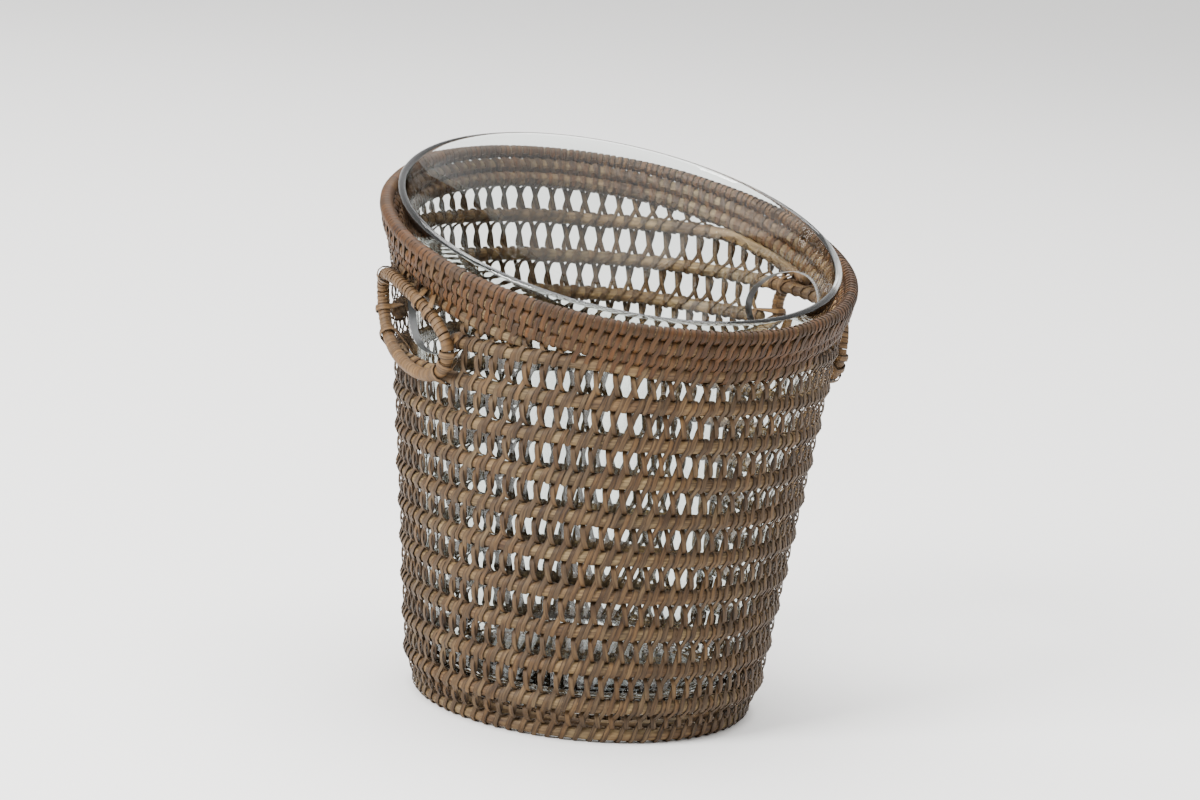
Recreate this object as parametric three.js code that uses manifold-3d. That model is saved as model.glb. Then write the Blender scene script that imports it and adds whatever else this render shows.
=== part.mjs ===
// Rattan champagne bucket: level cane rods laced into an open tapered wall, a slanted
// border, two lashed ring handles and a clear glass liner that lifts out.
// Millimetres, +Z up. The handles lie on X, the rim is low at -Y and high at +Y.
import * as THREE from 'three';
import { mergeVertices } from 'three/addons/utils/BufferGeometryUtils.js';
import Module from 'manifold-3d';

// Wall and rim
const BASE_RADIUS = 93; // face of the rods at the floor
const RIM_RADIUS = 121.76; // face of the rods at the rim, above the handles
const RIM_HEIGHT = 243.8; // centre of the rim rod above the handles
const RIM_RISE = 56.85; // rim from its low front up to its high back
const RIM_ROD_RADIUS = 2.2;
const RIM_WRAP = 0.8; // thickness of the wound cane on the rim
const RIM_OVERHANG = 4; // rim rod outside the line of the wall rods
const BORDER_ROD_RADIUS = 2.6;
const BORDER_OVERHANG = 2; // second rod outside the line of the wall rods
const BORDER_STEP = 6.8; // from one slanted rod of the border down to the next

// Rows of rods
const ROD_RADIUS = 3.2;
const BASE_ROD_RADIUS = 4.2;
const BASE_INSET = 2.8; // the lowest rod stands in from the wall
const BASE_STITCH_LIFT = 1; // stitches on the lowest rod keep off the floor
const FIRST_ROW = 20.2;
const ROW_COUNT_BELOW_HOLE = 9;
const ROW_COUNT_ABOVE_HOLE = 2;

// Lacing: a strip of cane that zigzags down the front of two rods and back behind them
const LACE_WIDTH = 5;
const LACE_THICKNESS = 0.9;
const TURN_WIDTH = 2; // the strip is drawn narrow where it turns back between the rods
const OPEN_GAP = 16.5; // rods this far apart or more are laced
const SEAT_GAP = 0.3; // between pieces that touch

// Handles
const HANDLE_DROP = 45.3; // rim rod down to the middle of the ring
const HANDLE_HALF_WIDTH = 38.5; // to the middle of the wrapped ring
const HANDLE_HALF_HEIGHT = 19.8;
const RING_SAG = 0.2; // the ring's runs hang below the rods that they are lashed to
const HANDLE_TUBE = 3.4;
const HANDLE_TILT = THREE.MathUtils.degToRad(12);
const HANDLE_ROUNDNESS = 2.5; // exponent of the ring's oval
const TIE_WIDTH = 2.2;
const TIE_PLACE = 1.5; // stitches from the middle of the ring to a tie
const STEEP_TIE_PLACE = 0.5; // nearer where the ring soon turns steeply

// Base coils
const BASE_RING_COUNT = 4;
const BASE_CENTRE_RADIUS = 17.1; // middle of the innermost coil
const BASE_RING_HEIGHT = 6;

// Glass liner
const GLASS_WALL = 4;
const GLASS_FLOOR = 6;
const GLASS_PROUD_FRONT = 7.2; // lip above the rim rod's centre
const GLASS_PROUD_BACK = 12.3;
const GLASS_FLARE = 2.8; // the lip opens outward above the border
const GLASS_CLEARANCE = 0.6;
const GLASS_HOLE_HALF_WIDTH = 38;
const GLASS_HOLE_HALF_HEIGHT = 22;
const GLASS_HOLE_RISE = 9; // middle of the hole above the middle of the ring

// Facets
const STEPS = 36; // stitches and rod facets in a full turn
const BASE_STEPS = 20;
const ROD_SIDES = 5;
const RIM_SIDES = 6;
const RING_STEPS = 28;

const STEP = (2 * Math.PI) / STEPS;
const ROD_END = 0.16 * STEP; // a rod runs on past its last stitch
const TURN_BACK = 0.25 * STEP; // a strip turns back past its last stitch
const BACK = Math.PI / 2;
const Z_AXIS = new THREE.Vector3(0, 0, 1);

const root = new THREE.Group();

const rattan = (color) => new THREE.MeshStandardMaterial({ color, roughness: 0.7, metalness: 0 });
const rodColor = 0x9c8670;
const laceColor = 0xa88a66;
const rimColor = 0xb0926a;

function addPiece(name, geometry, material) {
  const mesh = new THREE.Mesh(geometry, material);
  mesh.name = name;
  root.add(mesh);
}

// Small helpers for places on the wall

const radial = (phi) => new THREE.Vector3(Math.cos(phi), Math.sin(phi), 0);
const tangentAt = (phi) => new THREE.Vector3(-Math.sin(phi), Math.cos(phi), 0);
const onWall = (phi, radius, z) => radial(phi).multiplyScalar(radius).setZ(z);
const wallFlare = (RIM_RADIUS - BASE_RADIUS) / RIM_HEIGHT; // radius gained per mm of height
const wallRadius = (z) => BASE_RADIUS + wallFlare * z;
const rodLine = (z, rodRadius) => wallRadius(z) - rodRadius - SEAT_GAP;

// Height at which the rim's slanted plane cuts the tapered wall
function rimHeight(phi) {
  const slope = (RIM_RISE / (2 * RIM_RADIUS)) * Math.sin(phi);
  return (RIM_HEIGHT + slope * BASE_RADIUS) / (1 - slope * wallFlare);
}
const borderHeight = (phi) => rimHeight(phi) - BORDER_STEP;
const slantRowHeight = (phi) => borderHeight(phi) - BORDER_STEP;

// One closed body through a run of sections that have the same number of points
function sweep(sections, closed) {
  const sides = sections[0].length;
  const positions = sections.flat().flatMap((point) => point.toArray());
  const index = [];
  const spans = closed ? sections.length : sections.length - 1;
  for (let i = 0; i < spans; i++) {
    const here = i * sides;
    const next = ((i + 1) % sections.length) * sides;
    for (let j = 0; j < sides; j++) {
      const k = (j + 1) % sides;
      index.push(here + j, next + j, next + k, here + j, next + k, here + k);
    }
  }
  if (!closed) {
    const last = (sections.length - 1) * sides;
    for (let j = 1; j < sides - 1; j++) {
      index.push(0, j, j + 1, last, last + j + 1, last + j);
    }
  }
  const geometry = new THREE.BufferGeometry();
  geometry.setAttribute('position', new THREE.Float32BufferAttribute(positions, 3));
  geometry.setIndex(index);
  return faceOutward(geometry);
}

function faceOutward(geometry) {
  const position = geometry.getAttribute('position');
  const index = geometry.getIndex().array;
  const corner = (n) => new THREE.Vector3().fromBufferAttribute(position, index[n]);
  let volume = 0;
  for (let n = 0; n < index.length; n += 3) {
    volume += corner(n).dot(corner(n + 1).cross(corner(n + 2)));
  }
  if (volume < 0) {
    for (let n = 0; n < index.length; n += 3) {
      [index[n + 1], index[n + 2]] = [index[n + 2], index[n + 1]];
    }
  }
  geometry.computeVertexNormals();
  return geometry;
}

// A polygon round a rod's centre, upright in the plane through the axis, flat side down
function sectionOf(rod, phi, sides) {
  const points = [];
  for (let j = 0; j < sides; j++) {
    const angle = -Math.PI / 2 + (Math.PI * (2 * j + 1)) / sides;
    const across = rod.centre(phi) + rod.radius * Math.cos(angle);
    points.push(onWall(phi, across, rod.height(phi) + rod.radius * Math.sin(angle)));
  }
  return points;
}

function angles(from, to) {
  const count = Math.max(1, Math.round((to - from) / STEP));
  return Array.from({ length: count + 1 }, (_, i) => from + ((to - from) * i) / count);
}

const turnIn = (count) => Array.from({ length: count }, (_, i) => (2 * Math.PI * i) / count);
const fullTurn = turnIn(STEPS);

// Rows: level where there is room, running out under the border where the rim comes down

const rowStep = 2 * (ROD_RADIUS + SEAT_GAP); // a row that lies on the row below
const tierStep = ROD_RADIUS + BORDER_ROD_RADIUS + 2 * SEAT_GAP; // a row that lies under the slanted row

const baseRod = {
  height: () => BASE_ROD_RADIUS * Math.cos(Math.PI / ROD_SIDES),
  centre: () => wallRadius(0) - BASE_INSET - BASE_ROD_RADIUS,
  radius: BASE_ROD_RADIUS,
  lift: BASE_STITCH_LIFT,
};
const borderRod = {
  height: borderHeight,
  centre: (phi) => rodLine(borderHeight(phi), BORDER_ROD_RADIUS) + BORDER_OVERHANG,
  radius: BORDER_ROD_RADIUS,
  lift: 0,
};
const slantRow = {
  height: slantRowHeight,
  present: () => true,
  centre: (phi) => rodLine(slantRowHeight(phi), BORDER_ROD_RADIUS),
  radius: BORDER_ROD_RADIUS,
  lift: 0,
  span: 'full',
};

// The rods next to the hand hole carry the ring, and the others share the height that is left
const handleHeight = RIM_HEIGHT - HANDLE_DROP;
const belowLevel = handleHeight - HANDLE_HALF_HEIGHT + RING_SAG;
const aboveLevel = handleHeight + HANDLE_HALF_HEIGHT + RING_SAG;

function spread(from, to, count) {
  return Array.from({ length: count }, (_, i) => from + ((to - from) * i) / (count - 1));
}
const levels = [
  ...spread(FIRST_ROW, belowLevel, ROW_COUNT_BELOW_HOLE),
  (belowLevel + aboveLevel) / 2,
  ...spread(aboveLevel, slantRowHeight(BACK), ROW_COUNT_ABOVE_HOLE + 1).slice(0, -1),
];

function makeRow(level, below) {
  const height = (phi) => Math.min(level, slantRowHeight(phi) - tierStep);
  const present = (phi) => below.present(phi) && height(phi) - below.height(phi) >= rowStep;
  return {
    height,
    present,
    centre: (phi) => rodLine(height(phi), ROD_RADIUS),
    radius: ROD_RADIUS,
    lift: 0,
    span: spanOf(present),
  };
}

// The stretch of the stitch grid, round the back, where a test holds
function spanOf(test) {
  let reach = 0;
  while (reach < STEPS / 2 && test(BACK - (reach + 1) * STEP) && test(BACK + (reach + 1) * STEP)) {
    reach += 1;
  }
  if (!test(BACK)) {
    return null;
  }
  return reach === STEPS / 2 ? 'full' : [BACK - reach * STEP, BACK + reach * STEP];
}

const rows = [];
let below = { ...baseRod, present: () => true };
for (const level of levels) {
  const row = makeRow(level, below);
  rows.push(row);
  below = row;
}
const [belowHole, partedRow, aboveHole] = rows.slice(ROW_COUNT_BELOW_HOLE - 1);
rows.push(slantRow);

// The hand holes part the rod that would cross them
const handleRadius = wallRadius(handleHeight);
const holeHalfAngle = Math.ceil(HANDLE_HALF_WIDTH / handleRadius / STEP - 0.5) * STEP;
const frontArc = [Math.PI + holeHalfAngle, 2 * Math.PI - holeHalfAngle];
const backArc = [holeHalfAngle, Math.PI - holeHalfAngle];

function rodGeometry(rod, span, sides = ROD_SIDES) {
  const closed = span === 'full';
  const stops = closed ? fullTurn : angles(span[0], span[1]);
  if (!closed) {
    stops.unshift(span[0] - ROD_END);
    stops.push(span[1] + ROD_END);
  }
  return sweep(stops.map((phi) => sectionOf(rod, phi, sides)), closed);
}

addPiece('base_rod', rodGeometry(baseRod, 'full'), rattan(rodColor));
rows.forEach((row, i) => {
  const name = `row_${String(i + 1).padStart(2, '0')}`;
  if (row === partedRow) {
    addPiece(`${name}_front`, rodGeometry(row, frontArc), rattan(rodColor));
    addPiece(`${name}_back`, rodGeometry(row, backArc), rattan(rodColor));
  } else {
    addPiece(`${name}_rod`, rodGeometry(row, row.span), rattan(rodColor));
  }
});

// Lacing between a lower and an upper rod, one strip of cane to each stretch

function laceSection(phi, rod, { rise, facing }) {
  const centre = onWall(phi, rod.centre(phi), rod.height(phi)).addScaledVector(rise, rod.lift);
  const inner = centre.addScaledVector(facing, rod.radius + SEAT_GAP);
  const outer = inner.clone().addScaledVector(facing, LACE_THICKNESS);
  return [
    outer.clone().addScaledVector(rise, LACE_WIDTH / 2),
    outer.clone().addScaledVector(rise, -LACE_WIDTH / 2),
    inner,
  ];
}

// The strip passes between the rods, edge on, where it turns back
function turnSection(phi, lower, upper, rise) {
  const low = onWall(phi, lower.centre(phi), lower.height(phi));
  const high = onWall(phi, upper.centre(phi), upper.height(phi));
  const middle = low.add(high).multiplyScalar(0.5);
  const outer = middle.clone().addScaledVector(tangentAt(phi), LACE_THICKNESS);
  return [
    outer.clone().addScaledVector(rise, TURN_WIDTH / 2),
    outer.clone().addScaledVector(rise, -TURN_WIDTH / 2),
    middle,
  ];
}

const onGrid = (phi) => Math.round(phi / STEP);

// The line that touches both rods on one side, and its square, in the plane through the axis
const FRONT = 1;
const BEHIND = -1;
function laceFrame(phi, lower, upper, side) {
  const low = onWall(phi, lower.centre(phi), lower.height(phi));
  const line = onWall(phi, upper.centre(phi), upper.height(phi)).sub(low);
  const lean = Math.asin((lower.radius - upper.radius) / line.length());
  line.normalize();
  const away = tangentAt(phi).cross(line).multiplyScalar(side);
  return {
    rise: line.clone().multiplyScalar(Math.cos(lean)).addScaledVector(away, -Math.sin(lean)),
    facing: away.clone().multiplyScalar(Math.cos(lean)).addScaledVector(line, Math.sin(lean)),
  };
}

// One side of a strip, on the upper rod at the even or the odd stitches
function laceRun(stops, lower, upper, side) {
  return stops.map((phi) => {
    const even = onGrid(phi) % 2 === 0;
    const rod = even === (side === FRONT) ? upper : lower;
    return laceSection(phi, rod, laceFrame(phi, lower, upper, side));
  });
}

function laceGeometry(lower, upper, span) {
  const stops = span === 'full' ? fullTurn.map((phi) => phi + BACK) : angles(span[0], span[1]);
  const front = laceRun(stops, lower, upper, FRONT);
  const behind = laceRun(stops, lower, upper, BEHIND).reverse();
  const end = stops[stops.length - 1];
  const turn = turnSection(end + TURN_BACK, lower, upper, laceFrame(end, lower, upper, FRONT).rise);
  return sweep([...front, turn, ...behind], false);
}

const ladder = [baseRod, ...rows];
for (let i = 0; i < ladder.length - 1; i++) {
  const lower = ladder[i];
  const upper = ladder[i + 1];
  const name = `lacing_${String(i + 1).padStart(2, '0')}`;
  const parted = lower === partedRow || upper === partedRow;
  const both = (phi) => upper.present(phi) && (lower === baseRod || lower.present(phi));
  const open = (phi) => both(phi) && upper.height(phi) - lower.height(phi) >= OPEN_GAP;
  if (parted) {
    const arcs = { front: frontArc, back: backArc };
    for (const [side, arc] of Object.entries(arcs)) {
      if (angles(arc[0], arc[1]).every(open)) {
        addPiece(`${name}_${side}`, laceGeometry(lower, upper, arc), rattan(laceColor));
      }
    }
  } else {
    const span = spanOf(open);
    if (span !== null) {
      addPiece(name, laceGeometry(lower, upper, span), rattan(laceColor));
    }
  }
}

// Slanted border: the second rod, the rim rod, its wound cane and the strips that bind them

const rimRod = {
  height: rimHeight,
  centre: (phi) => rodLine(rimHeight(phi), ROD_RADIUS) + RIM_OVERHANG,
  radius: RIM_ROD_RADIUS,
  lift: 0,
};
const wrapBore = RIM_ROD_RADIUS + SEAT_GAP / Math.cos(Math.PI / RIM_SIDES);
const wrappedRim = { ...rimRod, radius: wrapBore + RIM_WRAP };

addPiece('border_rod', rodGeometry(borderRod, 'full'), rattan(rodColor));
addPiece('rim_rod', rodGeometry(rimRod, 'full', RIM_SIDES), rattan(rodColor));

// The winding is a sleeve with a seam on the inside, under the rim
function rimWrapGeometry() {
  const bore = { ...rimRod, radius: wrapBore };
  const turned = (points) => [...points.slice(-1), ...points.slice(0, -1)];
  const sections = fullTurn.map((phi) => {
    const outside = turned(sectionOf(wrappedRim, phi, RIM_SIDES));
    const inside = turned(sectionOf(bore, phi, RIM_SIDES));
    return [...outside, ...inside.reverse()];
  });
  return sweep(sections, true);
}
addPiece('rim_wrap', rimWrapGeometry(), rattan(rimColor));

const rimRun = laceRun(fullTurn, borderRod, wrappedRim, FRONT);
addPiece('border_lacing', sweep(rimRun, true), rattan(laceColor));
const borderRun = laceRun(fullTurn, slantRow, borderRod, FRONT);
addPiece('border_lacing_lower', sweep(borderRun, true), rattan(laceColor));

// Handles: an oval ring bent to the wall, lashed to the rods above and below the hand hole

const laceFace = SEAT_GAP + LACE_THICKNESS; // front of the lacing, outside the rods
const handleStandoff = laceFace + HANDLE_TUBE;
const handles = { right: { phi: 0, front: -1 }, left: { phi: Math.PI, front: 1 } };

function handlePoint(side, t) {
  const power = 2 / HANDLE_ROUNDNESS;
  const bulge = (value) => Math.sign(value) * Math.abs(value) ** power;
  const along = HANDLE_HALF_WIDTH * bulge(Math.cos(t));
  const rise = HANDLE_HALF_HEIGHT * bulge(Math.sin(t));
  const tangent = along * Math.cos(HANDLE_TILT) + rise * Math.sin(HANDLE_TILT);
  const z = handleHeight - along * Math.sin(HANDLE_TILT) + rise * Math.cos(HANDLE_TILT);
  const phi = side.phi + (side.front * tangent) / handleRadius;
  return onWall(phi, wallRadius(z) + handleStandoff, z);
}

function handleGeometry(side) {
  const turn = (i) => (2 * Math.PI * i) / RING_STEPS;
  const sections = Array.from({ length: RING_STEPS }, (_, i) => {
    const centre = handlePoint(side, turn(i));
    const tangent = handlePoint(side, turn(i + 0.5)).sub(handlePoint(side, turn(i - 0.5))).normalize();
    const out = centre.clone().setZ(0).normalize();
    out.addScaledVector(tangent, -out.dot(tangent)).normalize();
    const across = tangent.clone().cross(out);
    return Array.from({ length: RIM_SIDES }, (_, j) => {
      const angle = (2 * Math.PI * j) / RIM_SIDES;
      const point = centre.clone().addScaledVector(out, HANDLE_TUBE * Math.cos(angle));
      return point.addScaledVector(across, HANDLE_TUBE * Math.sin(angle));
    });
  });
  return sweep(sections, true);
}

// Where the ring's upper or lower run passes an angle, found by halving
const HALVINGS = 40;
function handleAt(side, offset, upper) {
  let low = upper ? 0 : Math.PI;
  let high = low + Math.PI;
  const shift = (t) => {
    const point = handlePoint(side, t);
    const turned = Math.atan2(point.y, point.x) - side.phi;
    return side.front * Math.atan2(Math.sin(turned), Math.cos(turned));
  };
  const falls = upper ? 1 : -1;
  for (let n = 0; n < HALVINGS; n++) {
    const middle = (low + high) / 2;
    if (falls * (shift(middle) - offset) > 0) {
      low = middle;
    } else {
      high = middle;
    }
  }
  return handlePoint(side, low);
}

// A strip looped round the ring and a rod, in the plane through the bucket's axis
function tieGeometry(phi, ring, rod) {
  const out = radial(phi);
  const along = tangentAt(phi);
  const rodCentre = onWall(phi, rod.centre(phi), rod.height(phi));
  const reach = ring.clone().sub(rodCentre);
  const heading = Math.atan2(reach.z, reach.dot(out));
  const slack = 1 / Math.cos(2 * HANDLE_TILT);
  const bends = [-2, -1, 0, 1, 2].map((n) => (n * Math.PI) / 4);
  const loop = [
    ...bends.map((bend) => [ring, HANDLE_TUBE * slack, heading + bend]),
    ...bends.map((bend) => [rodCentre, rod.radius, heading + Math.PI + bend]),
  ];
  const facet = 1 / Math.cos(Math.PI / 8);
  const sections = loop.map(([centre, radius, angle]) => {
    const away = out.clone().multiplyScalar(Math.cos(angle)).addScaledVector(Z_AXIS, Math.sin(angle));
    const inner = centre.clone().addScaledVector(away, (radius + SEAT_GAP) * facet);
    const outer = inner.clone().addScaledVector(away, LACE_THICKNESS);
    return [
      outer.clone().addScaledVector(along, TIE_WIDTH / 2),
      outer.clone().addScaledVector(along, -TIE_WIDTH / 2),
      inner,
    ];
  });
  return sweep(sections, true);
}

const ties = {
  top_front: { upper: true, steps: STEEP_TIE_PLACE },
  top_back: { upper: true, steps: -TIE_PLACE },
  bottom_front: { upper: false, steps: TIE_PLACE },
  bottom_back: { upper: false, steps: -STEEP_TIE_PLACE },
};
for (const [name, side] of Object.entries(handles)) {
  addPiece(`handle_ring_${name}`, handleGeometry(side), rattan(rimColor));
  for (const [place, { upper, steps }] of Object.entries(ties)) {
    const offset = steps * STEP;
    const phi = side.phi + side.front * offset;
    const ring = handleAt(side, offset, upper);
    const rod = upper ? aboveHole : belowHole;
    addPiece(`tie_${name}_${place}`, tieGeometry(phi, ring, rod), rattan(rimColor));
  }
}

// Base: flat coils inside the wall's lacing, laced like the wall, round a close-coiled centre

const laceDepth = SEAT_GAP + LACE_THICKNESS; // lacing behind the rods
const baseEdge = baseRod.centre() - BASE_ROD_RADIUS - laceDepth - SEAT_GAP;
const baseRings = spread(baseEdge - ROD_RADIUS, BASE_CENTRE_RADIUS, BASE_RING_COUNT).map((radius) => ({
  height: () => BASE_RING_HEIGHT,
  centre: () => radius,
  radius: ROD_RADIUS,
  lift: 0,
}));
baseRings.forEach((ring, i) => {
  const sections = turnIn(BASE_STEPS).map((phi) => sectionOf(ring, phi, ROD_SIDES));
  addPiece(`base_coil_${i + 1}`, sweep(sections, true), rattan(rodColor));
});

function baseLaceGeometry(outerRing, innerRing) {
  const stops = turnIn(BASE_STEPS / 2);
  const down = Z_AXIS.clone().negate();
  const pick = (i, even) => ((i % 2 === 0) === even ? outerRing : innerRing);
  const run = (facing, even) => {
    return stops.map((phi, i) => laceSection(phi, pick(i, even), { rise: radial(phi), facing }));
  };
  const top = run(Z_AXIS, true);
  const under = run(down, false).reverse();
  const end = stops[stops.length - 1] + TURN_BACK;
  return sweep([...top, turnSection(end, innerRing, outerRing, radial(end)), ...under], false);
}
for (let i = 0; i < baseRings.length - 1; i++) {
  const geometry = baseLaceGeometry(baseRings[i], baseRings[i + 1]);
  addPiece(`base_lacing_${i + 1}`, geometry, rattan(laceColor));
}

const innermost = baseRings[baseRings.length - 1];
const centreRadius = (innermost.centre() - ROD_RADIUS) * Math.cos(Math.PI / BASE_STEPS) - SEAT_GAP;
const centreDisc = new THREE.CylinderGeometry(centreRadius, centreRadius, 2 * ROD_RADIUS, BASE_STEPS);
centreDisc.rotateX(Math.PI / 2).translate(0, 0, BASE_RING_HEIGHT);
addPiece('base_centre', centreDisc, rattan(rodColor));

// Glass liner: a tapered cup cut on the rim's slant, with a hand hole at each handle

const wasm = await Module();
wasm.setup();

function toSolid(geometry) {
  const bare = geometry.clone();
  bare.deleteAttribute('normal');
  bare.deleteAttribute('uv');
  const merged = mergeVertices(bare, 1e-4);
  return new wasm.Manifold(new wasm.Mesh({
    numProp: 3,
    vertProperties: new Float32Array(merged.getAttribute('position').array),
    triVerts: new Uint32Array(merged.getIndex().array),
  }));
}

function fromSolid(solid) {
  const mesh = solid.getMesh();
  const geometry = new THREE.BufferGeometry();
  geometry.setAttribute('position', new THREE.Float32BufferAttribute(mesh.vertProperties, 3));
  geometry.setIndex(new THREE.Uint32BufferAttribute(mesh.triVerts, 1));
  geometry.computeVertexNormals();
  return geometry;
}

const wallDepth = SEAT_GAP + 2 * ROD_RADIUS + laceDepth;
const glassRadius = (z) => wallRadius(z) - wallDepth - GLASS_CLEARANCE;
const glassBottom = BASE_RING_HEIGHT + ROD_RADIUS + SEAT_GAP + LACE_THICKNESS + SEAT_GAP;

// Profile from the outside of the floor, over the rounded lip, to the inside of the floor.
// The heel draws in below the first row, clear of the lacing on the inset base rod.
const heelRadius = baseEdge + SEAT_GAP - GLASS_CLEARANCE;
const heelTop = FIRST_ROW;

function glassProfile(phi) {
  const half = GLASS_WALL / 2;
  const floorTop = glassBottom + GLASS_FLOOR;
  const insideHeel = heelTop + GLASS_WALL;
  const proud = THREE.MathUtils.mapLinear(Math.sin(phi), -1, 1, GLASS_PROUD_FRONT, GLASS_PROUD_BACK);
  const lip = rimHeight(phi) + proud;
  const shoulder = lip - half;
  const flareFoot = slantRowHeight(phi);
  const lipRadius = glassRadius(shoulder) + GLASS_FLARE;
  const middle = lipRadius - half;
  return [
    [heelRadius - half, glassBottom],
    [heelRadius, glassBottom + half],
    [glassRadius(heelTop), heelTop],
    [glassRadius(flareFoot), flareFoot],
    [lipRadius, shoulder],
    [middle + half * Math.SQRT1_2, shoulder + half * Math.SQRT1_2],
    [middle, lip],
    [middle - half * Math.SQRT1_2, shoulder + half * Math.SQRT1_2],
    [middle - half, shoulder],
    [glassRadius(flareFoot) - GLASS_WALL, flareFoot],
    [glassRadius(insideHeel) - GLASS_WALL, insideHeel],
    [heelRadius - half, floorTop],
  ];
}

function glassGeometry() {
  const shell = fullTurn.map((phi) => glassProfile(phi).map(([radius, z]) => onWall(phi, radius, z)));
  const sectionSize = shell[0].length;
  const positions = shell.flat().flatMap((point) => point.toArray());
  const index = [];
  for (let i = 0; i < STEPS; i++) {
    const here = i * sectionSize;
    const next = ((i + 1) % STEPS) * sectionSize;
    for (let j = 0; j < sectionSize - 1; j++) {
      index.push(here + j, next + j, next + j + 1, here + j, next + j + 1, here + j + 1);
    }
  }
  const under = positions.length / 3;
  positions.push(0, 0, glassBottom, 0, 0, glassBottom + GLASS_FLOOR);
  for (let i = 0; i < STEPS; i++) {
    const here = i * sectionSize;
    const next = ((i + 1) % STEPS) * sectionSize;
    index.push(under, next, here);
    index.push(under + 1, here + sectionSize - 1, next + sectionSize - 1);
  }
  const cup = new THREE.BufferGeometry();
  cup.setAttribute('position', new THREE.Float32BufferAttribute(positions, 3));
  cup.setIndex(index);

  const oval = new THREE.Shape();
  oval.absellipse(0, 0, GLASS_HOLE_HALF_WIDTH, GLASS_HOLE_HALF_HEIGHT, 0, 2 * Math.PI);
  const depth = 2 * wallRadius(RIM_HEIGHT);
  const hole = new THREE.ExtrudeGeometry(oval, { depth, bevelEnabled: false, curveSegments: 12 });
  hole.translate(0, 0, -depth / 2).rotateX(Math.PI / 2).rotateZ(Math.PI / 2);
  hole.translate(0, 0, handleHeight + GLASS_HOLE_RISE);
  return fromSolid(toSolid(faceOutward(cup)).subtract(toSolid(hole)));
}
const glass = new THREE.MeshStandardMaterial({ color: 0xdde3e2, roughness: 0.05, metalness: 0 });
glass.transparent = true;
glass.opacity = 0.35;
addPiece('glass_liner', glassGeometry(), glass);

// The origin lies on the floor under the middle of the whole: the slant throws the rim backward
const box = new THREE.Box3().setFromObject(root);
root.position.y = -(box.min.y + box.max.y) / 2;

export default root;
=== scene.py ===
import math
import random

import bmesh
import bpy
from mathutils import Matrix, Vector, noise


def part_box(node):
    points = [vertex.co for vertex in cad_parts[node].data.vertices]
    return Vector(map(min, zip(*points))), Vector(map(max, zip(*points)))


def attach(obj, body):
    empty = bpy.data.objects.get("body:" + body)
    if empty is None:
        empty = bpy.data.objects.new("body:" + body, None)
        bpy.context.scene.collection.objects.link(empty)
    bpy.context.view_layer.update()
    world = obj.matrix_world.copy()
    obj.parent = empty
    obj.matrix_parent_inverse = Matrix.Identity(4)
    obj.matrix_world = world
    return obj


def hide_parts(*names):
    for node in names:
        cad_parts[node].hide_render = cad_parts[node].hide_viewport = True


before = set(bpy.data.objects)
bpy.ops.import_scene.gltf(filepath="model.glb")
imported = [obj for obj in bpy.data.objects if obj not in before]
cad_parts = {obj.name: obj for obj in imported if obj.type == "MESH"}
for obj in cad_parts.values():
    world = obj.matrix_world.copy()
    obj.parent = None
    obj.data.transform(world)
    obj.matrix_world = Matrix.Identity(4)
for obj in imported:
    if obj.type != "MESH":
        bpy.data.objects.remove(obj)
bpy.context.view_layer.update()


# Rods of the wall
# Peeled rattan cane about 7 mm thick, steamed and bent into level hoops up a tapered wall.
# The rim slants, so the upper rods run out under the border and cover only the high side.

BASE_RADIUS = 93.0  # mm, as are all sizes below
RIM_RADIUS = 121.76
RIM_HEIGHT = 243.8
RIM_RISE = 56.85
WALL_FLARE = (RIM_RADIUS - BASE_RADIUS) / RIM_HEIGHT
BORDER_STEP = 6.8  # from one slanted rod of the border down to the next
BASE_LEVEL = 4.3
BASE_ROD_RADIUS = 3.3  # leaves room below for the strips that go round it
BASE_INSET = 7.4
FIRST_ROW = 20.2
LEVEL_ROWS = 9  # up to the hand holes
PARTED = 9  # place in the list of the row that the hand holes part
BELOW_HOLE = 178.9  # levels of the rods beside the hand holes
ABOVE_HOLE = 218.5
ROD_RADIUS = 3.5
ROD_INSET = 3.5  # from the face of the wall to the middle of a rod
TIER_STEP = 6.6  # a row that lies close under the border
ROOM_FOR_ROW = 7.0
SWAY_UP, SWAY_OUT = 0.8, 0.25  # how far a rod strays from its level and from the wall
SWAY_OUT_KEY = 40
HOOP_STEPS = 160  # to a full turn
GRAIN_APART = 900  # mm of grain from one rod to the next
TURN = 2 * math.pi
BACK = math.pi / 2
low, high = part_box("base_rod")
AXIS_Y = (low.y + high.y) / 2  # metres: the axis of the hoops


def wall_radius(z):
    return BASE_RADIUS + WALL_FLARE * z


def rim_height(phi):
    slope = RIM_RISE / (2 * RIM_RADIUS) * math.sin(phi)
    return (RIM_HEIGHT + slope * BASE_RADIUS) / (1 - slope * WALL_FLARE)


def border_height(phi):
    return rim_height(phi) - BORDER_STEP


def slant_height(phi):
    return rim_height(phi) - 2 * BORDER_STEP


def sway(key, phi, amount):
    """Small bends of natural cane, the same at both ends of a full turn."""
    bends, apart = 2.2, 5.7
    return amount * noise.noise((bends * math.cos(phi), bends * math.sin(phi), apart * key))


class Rod:
    """A hoop of cane: its height and the radius of its middle line at each angle."""

    def __init__(self, key, radius, level, inset=ROD_INSET):
        self.key = key
        self.radius = radius
        self.level = level
        self.inset = inset
        self.reach = math.pi  # how far it runs to each side of the back

    def height(self, phi):
        return self.level(phi) + sway(self.key, phi, SWAY_UP)

    def centre(self, phi):
        strayed = sway(self.key + SWAY_OUT_KEY, phi, SWAY_OUT)
        return wall_radius(self.level(phi)) - self.inset + strayed

    def covers(self, phi):
        return abs(math.remainder(phi - BACK, TURN)) <= self.reach


def under_border(level):
    return lambda phi: min(level, slant_height(phi) - TIER_STEP)


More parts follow.
